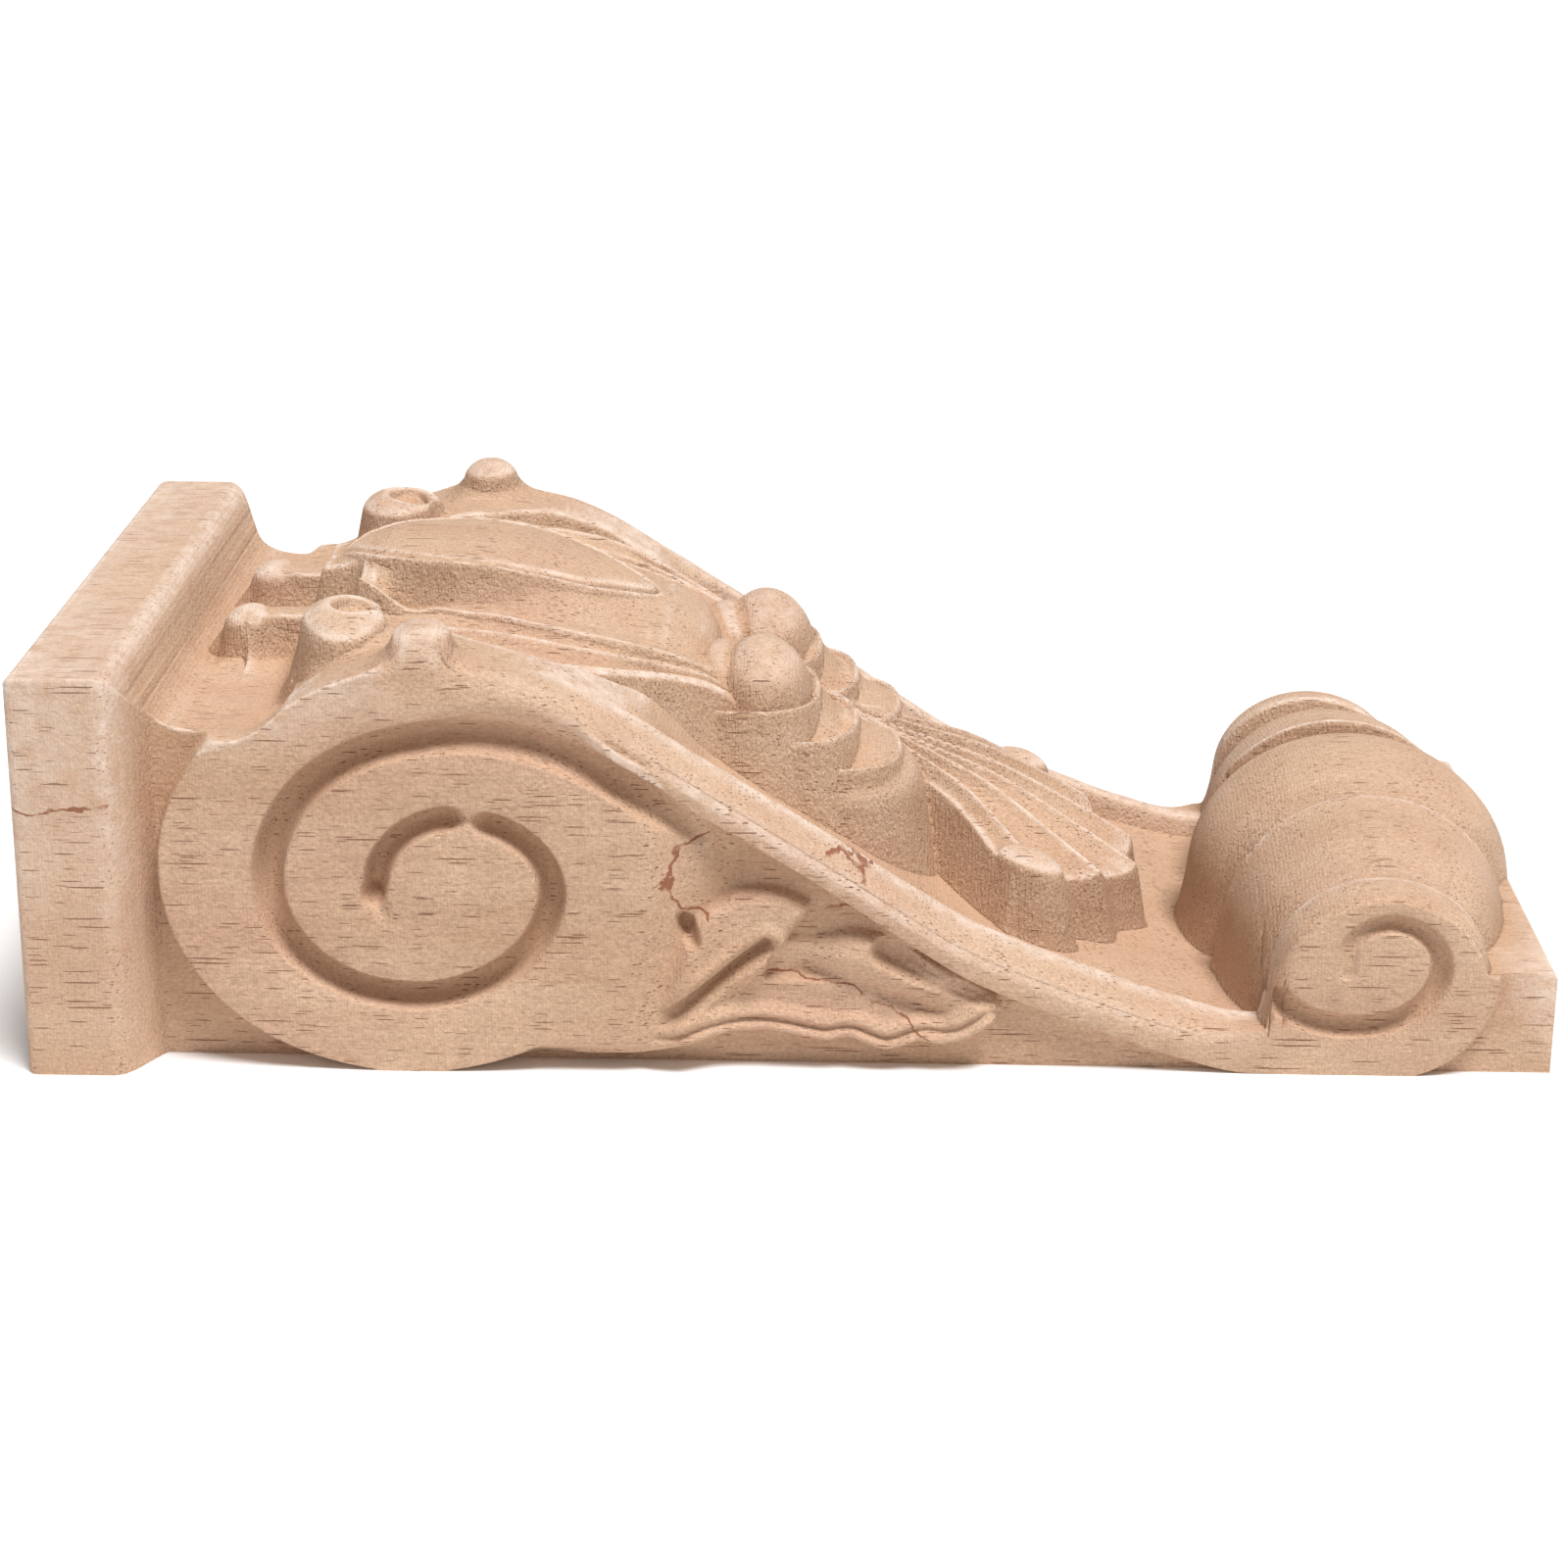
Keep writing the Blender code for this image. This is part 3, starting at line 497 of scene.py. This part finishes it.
# The wood's marks and painted light, each kept as a value from 0 to 1: raised edges facing up are
# pale with fuzz and a painted highlight, hollows are darkened with painted shade, and steep walls keep the
# streaks of the cutter's side
facing = np.cross(np.gradient(sheet, axis=1), np.gradient(sheet, axis=0))
facing /= np.maximum(np.linalg.norm(facing, axis=-1, keepdims=True), 1e-9)
facing *= np.sign(facing[ROWS // 2, -1, 2])
fine = ((softened(sheet, 2) - sheet) * facing).sum(-1)
# How deep each place lies below its surroundings, used to darken hollows as painted shade
coarse = ((softened(sheet, 9) - sheet) * facing).sum(-1)
steep = ease((0.75 - np.abs(facing[..., 2])) / 0.35) * (column > SIDE + 3)
# The band's crest and raised edges facing up are made pale: fuzz, and a painted highlight where the overhead
# light falls
crest = ridge(sheet[..., 1] - band_reach(sheet[..., 0]) + BAND_ROUND - 0.8, 1.7)
crest = crest * between(sheet[..., 0], 66, 165, 8)
plain = 1 - (column < SIDE + 14) * between(sheet[..., 0], 160, 194, 4)
raised = clamp(-fine / 0.07 - 0.15) * (1 - steep) * plain
marks_and_painted_light = {
    "fuzz_and_painted_highlight": np.maximum(raised, crest) * (column > SIDE - 8),
    "hollow": clamp(coarse - 0.05),
    "steep": steep}

bpy.ops.mesh.primitive_grid_add(x_subdivisions=cols - 1, y_subdivisions=rows - 1, size=1)
corbel = bpy.context.object
corbel.name = corbel.data.name = "carved_corbel"
places = sheet / 1000 - (LENGTH / 2000, 0, 0)
corbel.data.vertices.foreach_set("co", places.astype(np.float32).ravel())
corbel.data.update()
for cut, amount in marks_and_painted_light.items():
    kept = corbel.data.attributes.new(cut, "FLOAT", "POINT")
    kept.data.foreach_set("value", amount.astype(np.float32).ravel())
bpy.ops.object.mode_set(mode="EDIT")
bpy.ops.mesh.select_all(action="DESELECT")
bpy.ops.mesh.select_mode(type="VERT")
bpy.ops.object.mode_set(mode="OBJECT")
for end in (0, rows - 1):
    picked = np.zeros(rows * cols, bool)
    picked[end * cols:(end + 1) * cols] = True
    corbel.data.vertices.foreach_set("select", picked)
    bpy.ops.object.mode_set(mode="EDIT")
    bpy.ops.mesh.edge_face_add()
    bpy.ops.mesh.select_all(action="DESELECT")
    bpy.ops.object.mode_set(mode="OBJECT")
for kind, name in (("TRIANGULATE", "Corners"), ("DECIMATE", "Thin")):
    made = corbel.modifiers.new(name, kind)
    if kind == "DECIMATE":
        made.ratio = KEPT / (2 * rows * cols)
    bpy.ops.object.modifier_apply(modifier=name)
bpy.ops.object.mode_set(mode="EDIT")
bpy.ops.mesh.select_all(action="SELECT")
bpy.ops.mesh.region_to_loop()
bpy.ops.object.mode_set(mode="OBJECT")
for vert in corbel.data.vertices:
    if vert.select:
        vert.co.y = 0.0
twin = corbel.modifiers.new("Other half", "MIRROR")
twin.use_axis = (False, True, False)
twin.merge_threshold = 0.00001
bpy.ops.object.modifier_apply(modifier="Other half")
bpy.ops.object.mode_set(mode="EDIT")
bpy.ops.mesh.select_all(action="SELECT")
bpy.ops.mesh.normals_make_consistent(inside=False)
bpy.ops.object.mode_set(mode="OBJECT")
low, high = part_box("corbel")
for vert in corbel.data.vertices:
    for axis in range(3):
        vert.co[axis] = min(max(vert.co[axis], low[axis]), high[axis])
bpy.ops.object.shade_smooth_by_angle(angle=math.radians(50))

# The wood is raw and sanded: pale and tan bands along the grain, rosy places, fibre and grit, painted
# shade in the hollows, and pale fuzz with a painted highlight on raised edges, where the attributes say so.
wood = bpy.data.materials.new("raw_rubberwood")
wood.use_nodes = True
nodes, links = wood.node_tree.nodes, wood.node_tree.links
shader = nodes["Principled BSDF"]
shader.inputs["Roughness"].default_value = 0.72
shader.inputs["Specular IOR Level"].default_value = 0.28
place = nodes.new("ShaderNodeTexCoord")


def stretched(x, y, z):
    """The object's own coordinates, in steps of that many millimetres each way."""
    made = nodes.new("ShaderNodeMapping")
    made.inputs["Scale"].default_value = (1000 / x, 1000 / y, 1000 / z)
    links.new(place.outputs["Object"], made.inputs["Vector"])
    return made.outputs["Vector"]


def noise(vector, detail=3.0, roughness=0.55):
    made = nodes.new("ShaderNodeTexNoise")
    made.inputs["Scale"].default_value = 1.0
    made.inputs["Detail"].default_value = detail
    made.inputs["Roughness"].default_value = roughness
    links.new(vector, made.inputs["Vector"])
    return made.outputs["Fac"]


def ramp(value, *stops):
    """Colours at their places along the value."""
    made = nodes.new("ShaderNodeValToRGB")
    while len(made.color_ramp.elements) < len(stops):
        made.color_ramp.elements.new(1.0)
    for element, (at, colour) in zip(made.color_ramp.elements, stops):
        element.position = at
        element.color = (*colour, 1.0)
    links.new(value, made.inputs["Fac"])
    return made.outputs["Color"]


def mixed(factor, a, b, blend="MIX"):
    """Two colours or sockets, mixed by the factor."""
    made = nodes.new("ShaderNodeMix")
    made.data_type = "RGBA"
    made.blend_type = blend
    for socket, value in ((made.inputs[0], factor), (made.inputs[6], a), (made.inputs[7], b)):
        if isinstance(value, (int, float)):
            socket.default_value = value
        elif isinstance(value, tuple):
            socket.default_value = (*value, 1.0)
        else:
            links.new(value, socket)
    return made.outputs[2]


def sum_of(kind, a, b=0.0, c=0.0):
    """One step of arithmetic on values or sockets."""
    made = nodes.new("ShaderNodeMath")
    made.operation = kind
    for socket, value in zip(made.inputs, (a, b, c)):
        if isinstance(value, (int, float)):
            socket.default_value = value
        else:
            links.new(value, socket)
    return made.outputs["Value"]


def measured(name):
    """The corbel's own value of that name."""
    made = nodes.new("ShaderNodeAttribute")
    made.attribute_name = name
    return made.outputs["Fac"]


def pores(length, width, least, most, share):
    """Dark open pores of that length and width, of many sizes, in that share of the wood."""
    wander = nodes.new("ShaderNodeVectorMath")
    wander.operation = "ADD"
    links.new(stretched(length, width, width), wander.inputs[0])
    drift = nodes.new("ShaderNodeTexNoise")
    drift.inputs["Scale"].default_value = 1.0
    links.new(stretched(40, 6, 6), drift.inputs["Vector"])
    links.new(drift.outputs["Color"], wander.inputs[1])
    cell = nodes.new("ShaderNodeTexVoronoi")
    cell.inputs["Scale"].default_value = 1.0
    links.new(wander.outputs["Vector"], cell.inputs["Vector"])
    parts = nodes.new("ShaderNodeSeparateColor")
    links.new(cell.outputs["Color"], parts.inputs["Color"])
    size = sum_of("MULTIPLY_ADD", sum_of("POWER", parts.outputs["Red"], 2.0), most - least, least)
    there = sum_of("LESS_THAN", parts.outputs["Green"], share)
    edge = sum_of("SUBTRACT", size, cell.outputs["Distance"])
    return sum_of("MULTIPLY", there, sum_of("MULTIPLY", edge, 1 / 0.05, 0.0))


PALE, TAN, CREAM = (0.700, 0.478, 0.333), (0.640, 0.413, 0.275), (0.735, 0.525, 0.38)
# The fuzz colour also paints a highlight on raised edges, and the shade colour is painted shade for the
# hollows
ROSE, FUZZ_AND_HIGHLIGHT, SHADE = (0.650, 0.405, 0.290), (0.86, 0.69, 0.575), (0.56, 0.33, 0.19)
FIGURE, PORE, BLACK, WHITE = (0.28, 0.085, 0.035), (0.18, 0.068, 0.033), (0, 0, 0), (1, 1, 1)
broad = ramp(noise(stretched(60, 9, 9), 3), (0.30, TAN), (0.52, PALE), (0.75, CREAM))
rosy = ramp(noise(stretched(25, 14, 14), 2), (0.45, BLACK), (0.75, (0.6, 0.6, 0.6)))
tone = mixed(rosy, broad, ROSE)
fibre = ramp(noise(stretched(5, 0.30, 0.30), 4, 0.6), (0.3, (0.88, 0.86, 0.84)), (0.7, (1.05, 1.05, 1.05)))
tone = mixed(1.0, tone, fibre, "MULTIPLY")
grit = noise(stretched(0.55, 0.34, 0.34), 2, 0.7)
grit = ramp(grit, (0.32, (0.80, 0.77, 0.73)), (0.68, (1.10, 1.10, 1.10)))
tone = mixed(1.0, tone, grit, "MULTIPLY")
# Painted shade: the hollows are darkened towards the shade colour
tone = mixed(sum_of("MULTIPLY", measured("hollow"), 0.35), tone, SHADE)
# Pale fuzz and a painted highlight on the raised edges facing up and on the band's crest
patchy = ramp(noise(stretched(2.5, 2.5, 2.5), 3, 0.7), (0.35, (0.25, 0.25, 0.25)), (0.65, WHITE))
tone = mixed(sum_of("MULTIPLY", measured("fuzz_and_painted_highlight"), patchy), tone, FUZZ_AND_HIGHLIGHT)

# A few dark figure lines cross the near flank: on the cap, round the web and the band, and on the leaf
where = nodes.new("ShaderNodeSeparateXYZ")
links.new(place.outputs["Object"], where.inputs["Vector"])
near_flank = sum_of("LESS_THAN", where.outputs["Y"], -0.030)
ragged = sum_of("SUBTRACT", noise(stretched(4.5, 4.5, 4.5), 4, 0.5), 0.5)
fading = ramp(noise(stretched(3.0, 3.0, 3.0), 2, 0.5), (0.38, BLACK), (0.50, WHITE))
LINE_HALF, RAGGED = 0.17, 4.0
for cx, cz, rx, rz, low, high in (
    (96.0, 27.0, 13.2, 6.6, 80.0, 89.0), (99.5, 26.0, 10.2, 4.4, 104.0, 112.0),
    (96.0, -24.0, 34.0, 37.4, 95.0, 118.0), (6.0, 66.0, 30.0, 29.6, -1.0, 12.5)
):
    ring = nodes.new("ShaderNodeMapping")
    ring.vector_type = "TEXTURE"
    ring.inputs["Location"].default_value = (cx / 1000 - LENGTH / 2000, 0, cz / 1000)
    ring.inputs["Scale"].default_value = (rx / 1000, 1e6, rz / 1000)
    links.new(place.outputs["Object"], ring.inputs["Vector"])
    length = nodes.new("ShaderNodeVectorMath")
    length.operation = "LENGTH"
    links.new(ring.outputs["Vector"], length.inputs[0])
    off = sum_of("MULTIPLY_ADD", ragged, RAGGED / rz, sum_of("SUBTRACT", length.outputs["Value"], 1.0))
    line = sum_of("LESS_THAN", sum_of("ABSOLUTE", off), LINE_HALF / rz)
    right_of = sum_of("GREATER_THAN", where.outputs["X"], low / 1000 - LENGTH / 2000)
    left_of = sum_of("LESS_THAN", where.outputs["X"], high / 1000 - LENGTH / 2000)
    line = sum_of("MULTIPLY", sum_of("MULTIPLY", line, near_flank), sum_of("MULTIPLY", right_of, left_of))
    tone = mixed(sum_of("MULTIPLY", sum_of("MULTIPLY", line, fading), 0.85), tone, FIGURE)

# Two kinds of pores: long ones along the grain, and short ones where it runs out of the surface
for pore in ((12.0, 0.42, 0.08, 0.30, 0.9), (5.0, 0.32, 0.10, 0.32, 0.8)):
    dark = sum_of("MINIMUM", sum_of("MAXIMUM", pores(*pore), 0.0), 1.0)
    tone = mixed(sum_of("MULTIPLY", dark, 0.8), tone, PORE)
links.new(tone, shader.inputs["Base Color"])

# The cutter's marks lie across the grain, half a millimetre apart, and the cut wood is fuzzy
marks = nodes.new("ShaderNodeTexWave")
marks.inputs["Scale"].default_value = 0.35
marks.inputs["Distortion"].default_value = 1.5
links.new(stretched(0.5, 60, 60), marks.inputs["Vector"])
fuzz = sum_of("MULTIPLY_ADD", marks.outputs["Fac"], 0.07, noise(stretched(0.48, 0.36, 0.55), 3, 0.7))
streaks = sum_of("MULTIPLY", noise(stretched(0.30, 0.30, 7), 3, 0.6), measured("steep"))
bump = nodes.new("ShaderNodeBump")
bump.inputs["Strength"].default_value = 1.0
bump.inputs["Distance"].default_value = 0.00034
links.new(sum_of("MULTIPLY_ADD", streaks, 1.6, fuzz), bump.inputs["Height"])
links.new(bump.outputs["Normal"], shader.inputs["Normal"])
corbel.data.materials.clear()
corbel.data.materials.append(wood)
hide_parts("corbel")
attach(corbel, "root")

# A plain white table that the corbel lies on, with no edge in sight
bpy.ops.object.select_all(action="DESELECT")
bpy.ops.mesh.primitive_plane_add(size=6.0, location=(0, 0, 0))
floor = bpy.context.object
floor.name = floor.data.name = "white_floor"
white = bpy.data.materials.new("white_table")
white.use_nodes = True
white.node_tree.nodes["Principled BSDF"].inputs["Base Color"].default_value = (0.93, 0.93, 0.93, 1.0)
white.node_tree.nodes["Principled BSDF"].inputs["Roughness"].default_value = 0.9
floor.data.materials.append(white)

# Soft light from a wide bank high over the corbel and a little in front of it, in a bright white room
bpy.ops.object.light_add(type="SUN", location=(0, 0, 2))
bank = bpy.context.object
bank.name = "overhead_bank"
bank.data.energy = 3.7
bank.data.angle = math.radians(22)
bank.rotation_euler = (math.radians(15), math.radians(12), 0)
world = bpy.data.worlds.new("white_room")
world.use_nodes = True
world.node_tree.nodes["Background"].inputs["Color"].default_value = (1.0, 1.0, 1.0, 1.0)
world.node_tree.nodes["Background"].inputs["Strength"].default_value = 0.26
bpy.context.scene.world = world
bpy.context.scene.view_settings.view_transform = "Standard"

# The camera stands in front of the near flank, a little above it, as in the photograph
bpy.ops.object.camera_add(
    location=(0.00686, -0.45759, 0.18354), rotation=Euler([math.radians(a) for a in (70.774, -0.379, 1.282)])
)
camera = bpy.context.object
camera.data.lens = 78.19
camera.data.sensor_width = 36.0
camera.data.clip_start = 0.01
bpy.context.scene.camera = camera
